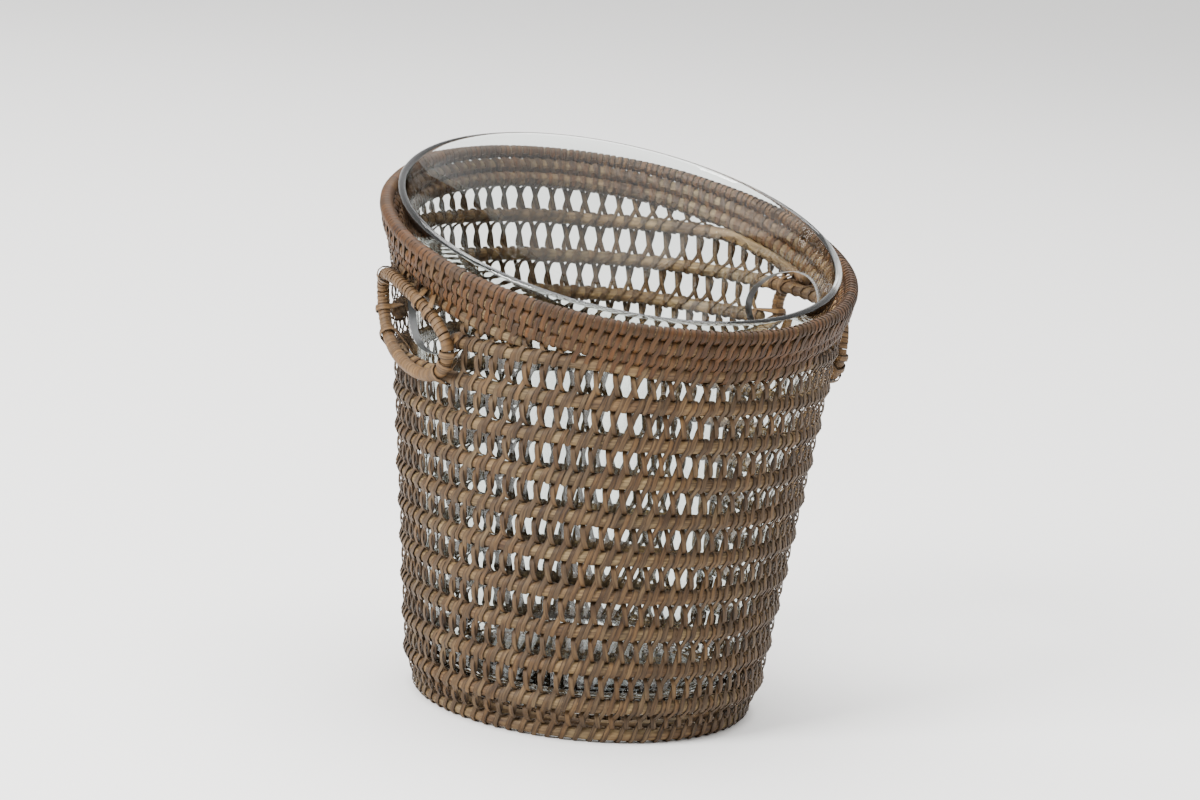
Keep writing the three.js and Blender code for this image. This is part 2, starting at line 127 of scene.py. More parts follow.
levels = [FIRST_ROW + (BELOW_HOLE - FIRST_ROW) * n / (LEVEL_ROWS - 1) for n in range(LEVEL_ROWS)]
levels += [(BELOW_HOLE + ABOVE_HOLE) / 2, ABOVE_HOLE, (ABOVE_HOLE + slant_height(BACK)) / 2]
base_rod = Rod(0, BASE_ROD_RADIUS, lambda phi: BASE_LEVEL, BASE_INSET)
base_rod.height = base_rod.level  # it lies flat on the strips that go round it
rows = [Rod(n + 1, ROD_RADIUS, under_border(level)) for n, level in enumerate(levels)]

# An upper row starts where there is room for it above the row below
half_turn = [n / 100 for n in range(315)]  # radians from the back
for below, row in zip(rows, rows[1:]):
    tight = [a for a in half_turn if row.level(BACK + a) - below.level(BACK + a) < ROOM_FOR_ROW]
    if tight:
        row.reach = tight[0]


def linear(code):
    """An sRGB hex value as a linear colour."""
    parts = [int(code[i:i + 2], 16) / 255 for i in (1, 3, 5)]
    return [c / 12.92 if c < 0.04045 else ((c + 0.055) / 1.055) ** 2.4 for c in parts] + [1.0]


def add_node(material, kind, inputs=None, **settings):
    """A shader node with its settings; a socket as a value makes a link."""
    made = material.node_tree.nodes.new(kind)
    for name, value in settings.items():
        setattr(made, name, value)
    for name, value in (inputs or {}).items():
        if isinstance(value, bpy.types.NodeSocket):
            material.node_tree.links.new(value, made.inputs[name])
        else:
            made.inputs[name].default_value = value
    return made


def cane_material(name, grey, warm, roughness, edge=None):
    """Rattan cane left unvarnished: fibres along its length, and a tone of its own for each strip, from
    weathered grey to fresh brown. The attribute holds a point's place in its strip, in mm: along, across
    and through. From edge mm off its middle line, a split strip gets painted shade along its cut edges,
    where the strips meet."""
    material = bpy.data.materials.new(name)
    material.use_nodes = True
    shader = material.node_tree.nodes["Principled BSDF"]
    place = add_node(material, "ShaderNodeAttribute", attribute_name="cane").outputs["Vector"]
    noises = []
    for scale, detail in (((0.07, 0.95, 0.95), 4.0), ((0.03, 0.06, 0.06), 2.0), ((0.017, 0.05, 0.05), 1.0)):
        stretched = add_node(material, "ShaderNodeMapping", {"Vector": place, "Scale": scale})
        made = add_node(
            material,
            "ShaderNodeTexNoise",
            {"Vector": stretched.outputs["Vector"], "Scale": 1.0, "Detail": detail, "Roughness": 0.65},
        )
        noises.append(made.outputs["Fac"])
    fibres, tone, age = noises
    depth = add_node(material, "ShaderNodeMix", {"Factor": 0.5, "A": tone, "B": fibres}, data_type="FLOAT")
    shades = []
    for colours in (grey, warm):
        ramp = add_node(material, "ShaderNodeValToRGB", {"Fac": depth.outputs["Result"]})
        stops = ramp.color_ramp.elements
        stops[0].position, stops[1].position = 0.38, 0.62
        stops[0].color, stops[1].color = linear(colours[0]), linear(colours[2])
        stops.new(0.5).color = linear(colours[1])
        shades.append(ramp.outputs["Color"])
    weathered = add_node(material, "ShaderNodeMapRange", {"Value": age, "From Min": 0.40, "From Max": 0.60})
    colour = add_node(
        material,
        "ShaderNodeMix",
        {6: shades[0], 7: shades[1], "Factor": weathered.outputs["Result"]},
        data_type="RGBA",
    )
    shade = colour.outputs[2]
    # Painted shade: a strip's cut edges darken towards #1d140c, where strips meet and shade falls
    if edge:
        parts = add_node(material, "ShaderNodeSeparateXYZ", {"Vector": place})
        off_middle = add_node(material, "ShaderNodeMath", {0: parts.outputs["Y"]}, operation="ABSOLUTE")
        limits = {"From Min": edge - 0.2, "From Max": edge + 0.25, "To Max": 0.75}
        painted_edge_shade = add_node(material, "ShaderNodeMapRange", {"Value": off_middle.outputs[0], **limits})
        inputs = {6: shade, 7: linear("#1d140c"), "Factor": painted_edge_shade.outputs["Result"]}
        shade = add_node(material, "ShaderNodeMix", inputs, data_type="RGBA").outputs[2]
    relief = add_node(material, "ShaderNodeBump", {"Height": fibres, "Strength": 0.7, "Distance": 0.0005})
    links = material.node_tree.links
    links.new(shade, shader.inputs["Base Color"])
    links.new(relief.outputs["Normal"], shader.inputs["Normal"])
    shader.inputs["Roughness"].default_value = roughness
    shader.inputs["Specular IOR Level"].default_value = 0.25
    return material


def make_piece(name, bm, material, nodes=(), body="basket"):
    """Turns a bmesh in mm, about the hoops' axis, into a piece of the part."""
    bmesh.ops.recalc_face_normals(bm, faces=bm.faces)
    bmesh.ops.scale(bm, vec=(0.001, 0.001, 0.001), verts=bm.verts)
    bmesh.ops.translate(bm, vec=(0, AXIS_Y, 0), verts=bm.verts)
    for face in bm.faces:
        face.smooth = True
    mesh = bpy.data.meshes.new(name)
    bm.to_mesh(mesh)
    bm.free()
    mesh.materials.append(material)
    piece = bpy.data.objects.new(name, mesh)
    bpy.context.scene.collection.objects.link(piece)
    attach(piece, body)
    if nodes:
        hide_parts(*nodes)
    return piece


def hoop(rod, start=0.0, end=TURN, sides=12):
    """A rod spun round the axis, then laid on its own height and radius."""
    bm = bmesh.new()
    cane = bm.verts.layers.float_vector.new("cane")
    nominal = 100.0
    bmesh.ops.create_circle(bm, segments=sides, radius=rod.radius)
    bmesh.ops.rotate(bm, matrix=Matrix.Rotation(math.pi / 2, 3, "X"), verts=bm.verts)
    bmesh.ops.translate(bm, vec=(nominal, 0, 0), verts=bm.verts)
    bmesh.ops.rotate(bm, matrix=Matrix.Rotation(start, 3, "Z"), verts=bm.verts)
    full = end - start > TURN - 0.001
    steps = max(6, round((end - start) / TURN * HOOP_STEPS))
    ring = bm.verts[:] + bm.edges[:]
    bmesh.ops.spin(bm, geom=ring, axis=(0, 0, 1), angle=end - start, steps=steps, use_merge=full)
    bmesh.ops.remove_doubles(bm, verts=bm.verts, dist=0.001)
    if not full:
        bmesh.ops.holes_fill(bm, edges=[e for e in bm.edges if e.is_boundary])
    for v in bm.verts:
        phi = math.atan2(v.co.y, v.co.x)
        out = math.hypot(v.co.x, v.co.y) - nominal
        v[cane] = (nominal * ((phi - BACK) % TURN) + GRAIN_APART * rod.key, out, v.co.z)
        radius = rod.centre(phi) + out
        v.co = (radius * math.cos(phi), radius * math.sin(phi), rod.height(phi) + v.co.z)
    return bm


# Peeled cane, dry and matt: long fibres that catch no highlight, greyish with browner stretches
rod_cane = cane_material(
    "peeled_rattan_rod", ["#34281b", "#584831", "#786547"], ["#372618", "#59432c", "#745d3d"], 0.65
)
HOLE_HALF = math.radians(18.4)  # the hand holes part row 10
make_piece("base_rod_cane", hoop(base_rod), rod_cane, ["base_rod"])
for n, row in enumerate(rows):
    name = f"row_{n + 1:02d}"
    if n == PARTED:
        front = hoop(row, math.pi + HOLE_HALF, TURN - HOLE_HALF)
        make_piece("row_10_front_cane", front, rod_cane, ["row_10_front"])
        back = hoop(row, HOLE_HALF, math.pi - HOLE_HALF)
        make_piece("row_10_back_cane", back, rod_cane, ["row_10_back"])
    else:
        bent = hoop(row, BACK - row.reach, BACK + row.reach)
        make_piece(name + "_cane", bent, rod_cane, [name + "_rod"])


# Border rods
# Two rods of the same cane, a little thicker, that run on the slant close under the rim. Each stands
# prouder of the wall than the one below it, and the strips of the rim bind them together.

BORDER_RADIUS = 3.75
BORDER_INSET = 0.9
SLANT_INSET = 2.9
BORDER_KEY = 30  # the rods of the border are bound together and sway as one
border_rod = Rod(BORDER_KEY, BORDER_RADIUS, border_height, BORDER_INSET)
slant_row = Rod(BORDER_KEY, BORDER_RADIUS, slant_height, SLANT_INSET)
make_piece("border_rod_cane", hoop(border_rod), rod_cane, ["border_rod"])
make_piece("row_13_cane", hoop(slant_row), rod_cane, ["row_13_rod"])


# Lacing of the wall
# Split-cane strips about 2.5 mm wide that cross in every gap. One strip goes over the front of each
# rod and once round it; the other passes behind the rods and in front of the first at the crossing.

STITCHES = 78
FLAT_GAP = 20.0  # the pattern is made flat between two rods, then bent to the wall
OVER_WIDTH = 2.6
UNDER_WIDTH = 2.4
STRIP_THICKNESS = 0.65
SLACK = 0.2  # a dry strip lies a little off its rod
SEAT = ROD_RADIUS + SLACK + STRIP_THICKNESS / 2
TIGHT = ROD_RADIUS + STRIP_THICKNESS / 2  # behind a rod, next to the liner
LIFT = 0.25  # of the strip that comes down over the start of the next
CROSSING = 9.2
GRAIN_LENGTH = 4000  # mm of grain from which each strip is cut
SLANT_KEY = 20


def strip(bm, stations, width, thickness):
    """A flat strip through stations, each a point and the way that its face looks.
    A flattened ring with upright edges is extruded from station to station."""
    cane = bm.verts.layers.float_vector.get("cane") or bm.verts.layers.float_vector.new("cane")
    frames = []
    for n, (point, face) in enumerate(stations):
        ahead = stations[min(n + 1, len(stations) - 1)][0]
        along = (ahead - stations[max(n - 1, 0)][0]).normalized()
        face = (face - along * face.dot(along)).normalized()
        matrix = Matrix((along.cross(face), face, along)).transposed().to_4x4()
        matrix.translation = point
        frames.append(matrix)
    ring = bmesh.ops.create_circle(bm, segments=6, radius=0.5)["verts"]
    bmesh.ops.scale(bm, vec=(width / math.cos(math.pi / 6), thickness, 1), verts=ring)
    for v in ring:
        v[cane] = (0, v.co.x, v.co.y)
    bmesh.ops.transform(bm, matrix=frames[0], verts=ring)
    edges = list({e for v in ring for e in v.link_edges})
    bmesh.ops.contextual_create(bm, geom=edges)
    length = 0.0
    for before, after in zip(frames, frames[1:]):
        grown = bmesh.ops.extrude_edge_only(bm, edges=edges)["geom"]
        ring = [g for g in grown if isinstance(g, bmesh.types.BMVert)]
        edges = [g for g in grown if isinstance(g, bmesh.types.BMEdge) and g.is_boundary]
        length += (after.translation - before.translation).length
        bmesh.ops.transform(bm, matrix=after @ before.inverted(), verts=ring)
        for v in ring:
            v[cane] = (length, v[cane].y, v[cane].z)
    bmesh.ops.contextual_create(bm, geom=edges)
    bmesh.ops.recalc_face_normals(bm, faces=bm.faces)
    for edge in bm.edges:
        edge.smooth = edge.calc_face_angle(0.0) < math.radians(50)


def repeat(strips, pitch, count, key, shift=0.05, spread=0.12):
    """One stitch laid count times along a flat run, each copy a little uneven and with its own grain."""
    bm = bmesh.new()
    for stations, width in strips:
        flat = [(Vector((point.x * pitch, point.y, point.z)), face) for point, face in stations]
        strip(bm, flat, width, STRIP_THICKNESS)
    size = len(bm.verts)
    whole = bm.verts[:] + bm.edges[:] + bm.faces[:]
    bmesh.ops.spin(
        bm, geom=whole, axis=(0, 0, 1), dvec=(pitch, 0, 0), angle=0, steps=count - 1, use_duplicate=True
    )
    cane = bm.verts.layers.float_vector["cane"]
    odd = random.Random(key)
    bm.verts.ensure_lookup_table()
    for n in range(count):
        middle = n * pitch + odd.uniform(-shift, shift) * pitch
        stretch = odd.uniform(1 - spread, 1 + spread)
        grain = odd.uniform(0, GRAIN_LENGTH)
        for v in bm.verts[n * size:(n + 1) * size]:
            v.co.x = middle + (v.co.x - n * pitch) * stretch
            v[cane] = (v[cane].x + grain, v[cane].y, v[cane].z)
    return bm, size


def on_rod(x, degrees, seat, up=0.0, out=0.0, lap=0.0):
    """A station on a rod of the flat pattern, at an angle up from its front; lap tips it over the next turn."""
    angle = math.radians(degrees)
    point = Vector((x, up + seat * math.sin(angle), out + seat * math.cos(angle)))
    return point, Vector((lap, math.sin(angle), math.cos(angle)))


def in_gap(x, up, out, lean):
    """A station between the rods, its face leaning up from the level."""
    return Vector((x, up, out)), Vector((0, math.sin(lean), math.cos(lean)))


def crossing_strips():
    """The two strips of one crossing: share of the pitch along, mm up from the lower rod, mm outward."""
    upper = ((0.52, 90), (0.43, 45), (0.32, 0), (0.22, -40))
    lower = ((-0.27, 42), (-0.37, 0), (-0.46, -45))
    behind = ((-0.51, -90), (-0.51, -130), (-0.50, -180), (-0.49, -230), (-0.48, -270))
    over = [on_rod(x, turn, SEAT, FLAT_GAP) for x, turn in upper]
    over += [in_gap(0.11, 13.9, 1.9, -0.2), in_gap(0.0, CROSSING, 1.2, 0.0), in_gap(-0.15, 5.4, 2.2, 0.2)]
    over += [on_rod(x, turn, SEAT + LIFT) for x, turn in lower]
    over += [on_rod(x, turn, TIGHT) for x, turn in behind]
    under = [in_gap(-0.48, FLAT_GAP, -SEAT, 0.0), in_gap(-0.27, 17.6, -3.7, 0.4)]
    under += [in_gap(-0.13, 15.9, -0.2, 1.0), in_gap(-0.12, 14.6, 2.0, 0.5), in_gap(-0.07, 12.3, 3.0, 0.2)]
    under += [in_gap(0.0, CROSSING, 3.3, 0.0), in_gap(0.09, 6.4, 2.8, -0.25), in_gap(0.15, 4.7, 1.4, -0.7)]
    under += [in_gap(0.17, 3.9, -0.6, -1.0), in_gap(0.31, 2.4, -3.7, -0.4), in_gap(0.52, 0.0, -SEAT, 0.0)]
    return [(over, OVER_WIDTH), (under, UNDER_WIDTH)]


def squeeze(y, gap):
    """Keeps a strip's hold on its rod and takes up a narrow gap between the rods."""
    near = min(SEAT, 0.4 * gap)
    if y < SEAT:
        return y * near / SEAT
    return near + (y - SEAT) * (gap / 2 - near) / (FLAT_GAP / 2 - SEAT)


def lacing(lower, upper, keep, key, count=STITCHES):
    """A flat run of crossings bent between two rods; keep names the stitches that are there."""
    pitch = TURN * lower.centre(BACK) / count
    bm, size = repeat(crossing_strips(), pitch, count, key)
    bm.verts.index_update()
    bmesh.ops.delete(bm, geom=[v for v in bm.verts if v.index // size not in keep], context="VERTS")
    for v in bm.verts:
        phi = TURN * v.co.x / pitch / count
        foot = Vector((lower.centre(phi), lower.height(phi)))
        reach = Vector((upper.centre(phi), upper.height(phi))) - foot
        gap = reach.length
        rise = reach / gap
        below = v.co.y < FLAT_GAP / 2
        rod = lower if below else upper
        from_rod = v.co.y if below else FLAT_GAP - v.co.y
        hold = (rod.radius + SLACK + STRIP_THICKNESS / 2) / SEAT
        share = min(1.0, max(0.0, 1.6 - from_rod / SEAT))
        out = v.co.z * (1 + (hold - 1) * share)
        up = (from_rod if from_rod < 0 else squeeze(from_rod, gap)) * (hold if from_rod < SEAT else 1)
        place = foot + rise * (up if below else gap - up) + Vector((rise.y, -rise.x)) * out
        v.co = (place.x * math.cos(phi), place.x * math.sin(phi), place.y)
    return bm


def stitch_angle(stitch):
    return TURN * stitch / STITCHES


def from_hole(phi):
    """Angle to the middle of the nearer hand hole."""
    return min(abs(math.remainder(phi, TURN)), abs(math.remainder(phi - math.pi, TURN)))


# Split cane, pulled smooth in the lacing: a low sheen, darker than the rods, and painted shade
# along its cut edges where the strips meet
lace_cane = cane_material(
    "split_rattan_lacing", ["#261a0c", "#423220", "#5d4c34"], ["#291a0b", "#45311b", "#604729"], 0.6, 1.0
)
LACE_CLEAR = math.radians(20.5)  # no lacing nearer to the middle of a hand hole
ladder = [base_rod] + rows
for n, (lower, upper) in enumerate(zip(ladder, ladder[1:])):
    name = f"lacing_{n + 1:02d}"
    held = [s for s in range(STITCHES) if lower.covers(stitch_angle(s)) and upper.covers(stitch_angle(s))]
    if n in (PARTED, PARTED + 1):
        held = [s for s in held if from_hole(stitch_angle(s)) > LACE_CLEAR]
        front = {s for s in held if math.sin(stitch_angle(s)) < 0}
        back = set(held) - front
        front_node = [name + "_front"] if n == PARTED else []
        make_piece(name + "_front_strips", lacing(lower, upper, front, n), lace_cane, front_node)
        make_piece(name + "_back_strips", lacing(lower, upper, back, n), lace_cane, [name + "_back"])
    else:
        make_piece(name + "_strips", lacing(lower, upper, set(held), n), lace_cane, [name])

# The lowest slanted rod is laced to whichever row lies highest under it, except where the two lie close
CLOSE_GAP = 9.0


def highest_row(phi):
    """Place in the list of the highest row at an angle, or None at a hand hole."""
    n = max(n for n, row in enumerate(rows) if row.covers(phi))
    return None if n == PARTED and from_hole(phi) < LACE_CLEAR else n


def close_under(phi):
    n = highest_row(phi)
    return n is not None and slant_row.level(phi) - rows[n].level(phi) < CLOSE_GAP


open_under = [s for s in range(STITCHES) if not close_under(stitch_angle(s))]
for n in range(PARTED, len(rows)):
    held = {s for s in open_under if highest_row(stitch_angle(s)) == n}
    laced = lacing(rows[n], slant_row, held, SLANT_KEY + n)
    node = ["lacing_13"] if n == len(rows) - 1 else []
    make_piece(f"lacing_13_strips_{n + 1}", laced, lace_cane, node)


# Rim
# A rod wound closely with split cane. Every second turn is long: its tail slants down over the second
# rod of the border and round it. Strips on the second and third rods fill the spaces as in brickwork.

RIM_PAIRS = 112
RIM_CORE = 2.9
RIM_STRIP = 2.9
BORDER_STRIP = 2.5
RIM_LAP = 0.12
RIM_INSET = -0.5  # the rim stands out past the wall
RIM_UNEVEN = 0.06
RIM_KEY = 77
SECOND_ROD = {"up": -BORDER_STEP, "out": -2.2}  # from the middle of the rim rod
THIRD_ROD = {"up": -2 * BORDER_STEP, "out": -5.0}
CLOSE_ROW = {"up": -2 * BORDER_STEP - TIER_STEP, "out": -6.4}
rim_rod = Rod(BORDER_KEY, RIM_CORE, rim_height, RIM_INSET)
rim_seat = RIM_CORE + SLACK + STRIP_THICKNESS / 2
border_seat = BORDER_RADIUS + SLACK + STRIP_THICKNESS / 2


def along_rim(strips, key, keep=range(RIM_PAIRS)):
    """Lays strips of one pair of turns, flat about the rim rod, all round the rim."""
    pitch = TURN * rim_rod.centre(-BACK) / RIM_PAIRS
    bm, size = repeat(strips, pitch, RIM_PAIRS, key, RIM_UNEVEN, RIM_UNEVEN)
    bm.verts.index_update()
    bmesh.ops.delete(bm, geom=[v for v in bm.verts if v.index // size not in keep], context="VERTS")
    for v in bm.verts:
        phi = TURN * v.co.x / pitch / RIM_PAIRS
        radius = rim_rod.centre(phi) + v.co.z
        v.co = (radius * math.cos(phi), radius * math.sin(phi), rim_rod.height(phi) + v.co.y)
    return bm


def rim_winding():
    """A short turn and a long one, which goes on round the second rod and up again on the inside."""
    first = ((0.28, 235), (0.25, 195), (0.20, 150), (0.15, 105), (0.10, 60), (0.03, 20), (-0.05, -20))
    last = ((-0.12, -60), (-0.18, -110), (-0.20, -160))
    short = [on_rod(0.25 + x, turn, rim_seat, lap=RIM_LAP) for x, turn in first + last]
    long = [on_rod(x - 0.25, turn, rim_seat, lap=RIM_LAP) for x, turn in first]
    tail = ((-0.58, 15), (-0.67, -30), (-0.73, -75), (-0.75, -120), (-0.70, -165), (-0.65, -205))
    long += [on_rod(x, turn, border_seat, **SECOND_ROD) for x, turn in tail]
    inside = ((-0.5, 215), (-0.42, 180))
    long += [on_rod(x, turn, rim_seat + STRIP_THICKNESS) for x, turn in inside]
    return along_rim([(short, RIM_STRIP), (long, BORDER_STRIP)], RIM_KEY)


def second_strips():
    """Strips over the second rod, then round the third and up again on the inside."""
    over_second = ((0.22, 200), (0.19, 160), (0.16, 120), (0.12, 80), (0.02, 40), (-0.08, 5), (-0.18, -35))
    over_third = ((-0.34, 25), (-0.44, -15), (-0.54, -55), (-0.60, -100), (-0.57, -145), (-0.52, -190))
    second = [on_rod(x, turn, border_seat, **SECOND_ROD) for x, turn in over_second]
    second += [on_rod(x, turn, border_seat, **THIRD_ROD) for x, turn in over_third]
    inside = ((-0.40, 215), (-0.32, 180))
    second += [on_rod(x, turn, border_seat + STRIP_THICKNESS, **SECOND_ROD) for x, turn in inside]
    return along_rim([(second, BORDER_STRIP)], RIM_KEY + 1)


def third_strips(close):
    """Strips on the third rod, drawn on round a row that lies close under it."""
    keep = {n for n in range(RIM_PAIRS) if close_under(TURN * n / RIM_PAIRS) == close}
    over_third = ((0.36, 205), (0.33, 170), (0.30, 130), (0.26, 85), (0.18, 40), (0.09, 0), (0.0, -40))
    third = [on_rod(x, turn, border_seat, **THIRD_ROD) for x, turn in over_third]
    if close:
        round_row = ((-0.20, 25), (-0.31, -15), (-0.40, -55), (-0.45, -100), (-0.42, -150))
        third += [on_rod(x, turn, SEAT, **CLOSE_ROW) for x, turn in round_row]
    else:
        tucked = ((-0.08, -85), (-0.08, -130))
        third += [on_rod(x, turn, border_seat, **THIRD_ROD) for x, turn in tucked]
    return along_rim([(third, BORDER_STRIP)], RIM_KEY + 2, keep)


# Split cane worn by hands: the brownest of the strips, with a soft gloss and painted shade in the seams
# between the turns
rim_cane = cane_material(
    "wound_rattan_rim", ["#211304", "#39240d", "#4f3618"], ["#261304", "#41260b", "#563513"], 0.55, 1.05
)
make_piece("rim_rod_cane", hoop(rim_rod), rod_cane, ["rim_rod"])
make_piece("rim_winding", rim_winding(), rim_cane, ["rim_wrap", "border_lacing"])
make_piece("border_second_strips", second_strips(), rim_cane, ["border_lacing_lower"])
make_piece("border_third_strips", third_strips(False), rim_cane)
make_piece("border_third_strips_close", third_strips(True), rim_cane)


# Ring handles
# A rod bent to an oval ring, curved to the wall and wound with split cane, then lashed to the rods
# above and below the hand hole with strips of the same cane.

HANDLE_HEIGHT = 200.3
HANDLE_HALF_WIDTH = 38.9
HANDLE_HALF_HEIGHT = 19.3
HANDLE_TILT = math.radians(16)
HANDLE_FORWARD = 3.5  # the ring sits a little to the front of the hand hole's middle
HANDLE_CORE = 2.6
HANDLE_STANDOFF = 4.6
HANDLE_TURNS = 70
HANDLE_LAP = 0.1
WIND_THICKNESS = 0.8
TIE_WIDTH = 3.2
RING_SEAT = HANDLE_CORE + 1.7  # a tie lies over the winding
TIE_CLEAR = 0.9  # from the face of a rod to the middle of a tie
FULLNESS = 0.9  # below 1, the oval is fuller than an ellipse
FINE, TRACK = 720, 240  # points along a ring, first by angle and then by length
handle_radius = wall_radius(HANDLE_HEIGHT)


def bulge(value):
    return math.copysign(abs(value) ** FULLNESS, value)


def ring_point(side, t):
    """A point on the middle line of the ring; side is 1 for the right handle and -1 for the left."""
    along = HANDLE_HALF_WIDTH * bulge(math.cos(t))
    rise = HANDLE_HALF_HEIGHT * bulge(math.sin(t))
    tangent = HANDLE_FORWARD + along * math.cos(HANDLE_TILT) + rise * math.sin(HANDLE_TILT)
    z = HANDLE_HEIGHT - along * math.sin(HANDLE_TILT) + rise * math.cos(HANDLE_TILT)
    phi = (0 if side > 0 else math.pi) - side * tangent / handle_radius
    radius = wall_radius(z) + HANDLE_STANDOFF
    return Vector((radius * math.cos(phi), radius * math.sin(phi), z))


def ring_track(side):
    """Points evenly spaced along the ring, so that the winding keeps its pitch."""
    fine = [ring_point(side, TURN * n / FINE) for n in range(FINE + 1)]
    walked = [0.0]
    for here, ahead in zip(fine, fine[1:]):
        walked.append(walked[-1] + (ahead - here).length)
    track = []
    n = 0
    for k in range(TRACK):
        wanted = walked[-1] * k / TRACK
        while walked[n + 1] < wanted:
            n += 1
        track.append(fine[n].lerp(fine[n + 1], (wanted - walked[n]) / (walked[n + 1] - walked[n])))
    return track, walked[-1]


def on_ring(track, turn, out, across):
    """A place about the ring's middle line, turn counted in whole rings."""
    place = turn % 1.0 * TRACK
    n = int(place) % TRACK
    point = track[n].lerp(track[(n + 1) % TRACK], place - int(place))
    along = (track[(n + 3) % TRACK] - track[n - 2]).normalized()
    outward = Vector((point.x, point.y, 0)).normalized()
    outward = (outward - along * outward.dot(along)).normalized()
    return point + outward * out + along.cross(outward) * across


def ring_winding(side):
    """Turns of split cane side by side all round the ring."""
    track, length = ring_track(side)
    pitch = length / HANDLE_TURNS
    seat = HANDLE_CORE + WIND_THICKNESS / 2
    turn = [on_rod(0.35 * (5 - n) / 5, 150 - 36 * n, seat, lap=HANDLE_LAP) for n in range(11)]
    bm, _ = repeat([(turn, 0.95 * pitch)], pitch, HANDLE_TURNS, 5 + side, 0.08, 0.1)
    for v in bm.verts:
        v.co = on_ring(track, v.co.x / length, v.co.z, v.co.y)
    return bm


def lash(side, bindings):
    """Strips looped round the ring and a rod, each at a share of the ring's round and at an angle in
    degrees from the hand hole's middle to the front."""
    bm = bmesh.new()
    for turn, rod, offset in bindings:
        ring = ring_point(side, TURN * turn)
        phi = (0 if side > 0 else math.pi) - side * math.radians(offset)
        radius = rod.centre(phi)
        held = Vector((radius * math.cos(phi), radius * math.sin(phi), rod.height(phi)))
        ring_way = ring_point(side, TURN * turn + 0.05) - ring_point(side, TURN * turn - 0.05)
        rod_way = Vector((-held.y, held.x, 0))
        stations = []
        for centre, way, seat, first in (
            (ring, ring_way.normalized(), RING_SEAT, 90),
            (held, rod_way.normalized(), rod.radius + TIE_CLEAR, 270),
        ):
            reach = held - ring
            reach = (reach - way * reach.dot(way)).normalized()
            out = way.cross(reach)
            if out.dot(ring) < 0:
                out.negate()
            for n in range(6):
                angle = math.radians(first + 36 * n)
                face = reach * math.cos(angle) + out * math.sin(angle)
                stations.append((centre + face * seat, face))
        strip(bm, stations + stations[:1], TIE_WIDTH, STRIP_THICKNESS)
    return bm


# Split cane wound tight on the ring: paler than the rim, a soft gloss on each turn and a dark line of
# painted shade between the turns
handle_cane = cane_material(
    "wound_rattan_handle", ["#3a2a18", "#59442d", "#72583b"], ["#3f2a14", "#5c4327", "#745835"], 0.55, 1.2
)
row_below, row_parted, row_above = rows[PARTED - 1:PARTED + 2]
TIES = {
    "top_front": ((0.205, row_above, 9), (0.165, row_above, 12.5)),
    "top_back": ((0.40, row_above, -12),),
    "bottom_front": ((0.925, row_below, 15.5),),
    "bottom_back": ((0.66, row_below, -8),),
}
END_BINDINGS = ((0.02, row_parted, 20.5), (0.98, row_parted, 21.5), (0.57, row_parted, -19.5))
for side, word in ((1, "right"), (-1, "left")):
    make_piece(f"handle_{word}_winding", ring_winding(side), handle_cane, [f"handle_ring_{word}"])
    for place, bindings in TIES.items():
        tie = f"tie_{word}_{place}"
        make_piece(tie + "_strip", lash(side, bindings), handle_cane, [tie])
    make_piece(f"handle_{word}_end_bindings", lash(side, END_BINDINGS), handle_cane)


# Base
# Flat coils of the same cane, laced to each other like the wall, round a close-coiled middle of thinner
# cane. None of it can be seen in the photograph, so it follows the usual make of such a base.

BASE_HEIGHT = 6.0
COIL_RADIUS = 3.1
COIL_OUTER = 77.1
COIL_STEP = 20
COIL_KEY = 60
COIL_STITCHES = (60, 48, 30)
COIL_LACE_KEY = 70
MIDDLE_RADIUS = 2.1
MIDDLE_OUTER = 11.2
MIDDLE_STEP = 4.3
MIDDLE_GRAIN = 12  # mm of grain to a radian
coils = []
for n in range(4):
    coil = Rod(COIL_KEY + n, COIL_RADIUS, lambda phi: BASE_HEIGHT)
    coil.centre = lambda phi, radius=COIL_OUTER - COIL_STEP * n: radius
    coils.append(coil)
    make_piece(f"base_coil_{n + 1}_cane", hoop(coil), rod_cane, [f"base_coil_{n + 1}"])
for n, count in enumerate(COIL_STITCHES):
    laced = lacing(coils[n + 1], coils[n], set(range(count)), COIL_LACE_KEY + n, count)
    make_piece(f"base_lacing_{n + 1}_strips", laced, lace_cane, [f"base_lacing_{n + 1}"])

middle = bmesh.new()
cane = middle.verts.layers.float_vector.new("cane")
for n in range(3):
    ring = bmesh.ops.create_circle(middle, segments=8, radius=MIDDLE_RADIUS)["verts"]
    bmesh.ops.rotate(middle, matrix=Matrix.Rotation(math.pi / 2, 3, "X"), verts=ring)
    bmesh.ops.translate(middle, vec=(MIDDLE_OUTER - MIDDLE_STEP * n, 0, BASE_HEIGHT), verts=ring)
    edges = list({e for v in ring for e in v.link_edges})
    bmesh.ops.spin(middle, geom=ring + edges, axis=(0, 0, 1), angle=TURN, steps=48, use_merge=True)
bmesh.ops.remove_doubles(middle, verts=middle.verts, dist=0.001)
for v in middle.verts:
    v[cane] = (MIDDLE_GRAIN * math.atan2(v.co.y, v.co.x), math.hypot(v.co.x, v.co.y), v.co.z)
make_piece("base_centre_coil", middle, rod_cane, ["base_centre"])


# Glass liner
# Clear blown glass 4 mm thick with a flared, fire-polished lip on the slant, and a hand hole cut at
# each handle, its edge left ground. It stands loose in the basket.

GLASS_WALL = 4.0
GLASS_INSET = 8.5  # from the face of the basket's wall to that of the glass
GLASS_BOTTOM = 10.7
GLASS_FLOOR = 6.0
PROUD_FRONT, PROUD_BACK = 7.2, 12.3
GLASS_FLARE = 2.8
HEEL_RADIUS = 80.0
HEEL_TOP = 20.2
HOLE_HALF_WIDTH = 38.0
HOLE_HALF_HEIGHT = 22.0
HOLE_HEIGHT = 207.5
CUTTER_LENGTH = 60
CUTTER_OUT = 105  # from the axis to the middle of a cutter


def glass_radius(z):
    return wall_radius(z) - GLASS_INSET


